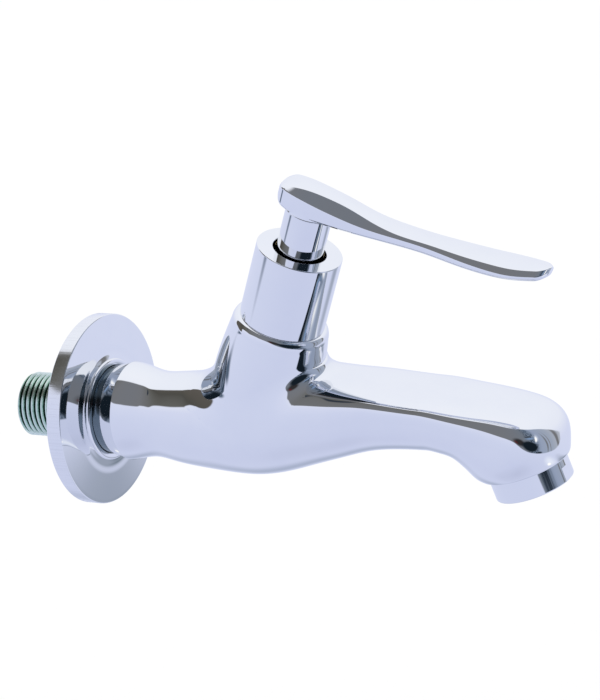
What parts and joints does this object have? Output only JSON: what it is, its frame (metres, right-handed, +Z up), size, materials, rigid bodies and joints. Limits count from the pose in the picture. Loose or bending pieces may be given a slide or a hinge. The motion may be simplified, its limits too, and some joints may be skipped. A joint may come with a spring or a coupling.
{
  "type": "bib tap",
  "caption": "Wall-mounted quarter-turn bib tap with a loose round wall flange, a leaning valve tower with a plain sleeve, a flat lever handle and a long curved spout with an aerator.",
  "frame": {"origin": "on the inlet axis, in the plane of the finished wall", "axes": "+X along the inlet axis from the wall towards the spout, +Y to the left seen from the wall, +Z up; the tap is symmetric about Y = 0"},
  "size_m": [0.189, 0.062, 0.112],
  "materials": {
    "chrome_casting": "polished chrome plate",
    "chrome_turned": "polished chrome plate",
    "nickel_thread": "satin nickel-chrome plate over cut thread",
    "brass": "machined",
    "steel": "machined stainless",
    "ceramic": "lapped ceramic",
    "rubber": "matte",
    "fibre": "pressed fibre",
    "white_plastic": "moulded"
  },
  "bodies": {
    "root": {"tap_body": "chrome_casting", "inlet_nipple": "nickel_thread", "nipple_washer": "fibre", "headwork_housing": "brass", "headwork_ring": "rubber", "disc_seal": "rubber", "fixed_disc": "ceramic", "thrust_washer": "white_plastic", "sleeve_ring": "rubber", "bonnet_sleeve": "chrome_turned", "aerator_housing": "chrome_turned", "aerator_mesh": "steel", "aerator_insert": "white_plastic", "aerator_washer": "rubber"},
    "lever": {"lever_handle": "chrome_casting", "grub_screw": "steel", "spindle": "brass", "spindle_rings": "rubber", "spindle_clip": "steel", "moving_disc": "ceramic"},
    "flange": {"wall_flange": "chrome_turned"}
  },
  "joints": [
    {"name": "lever_turn", "type": "hinge", "parent": "root", "child": "lever", "pos_m": [0.0593, 0, 0], "axis": [0.3746, 0, 0.9272], "range_deg": [0, 90]},
    {"name": "flange_slide", "type": "slide", "parent": "root", "child": "flange", "axis": [1, 0, 0], "range_m": [0, 0.0026]}
  ]
}
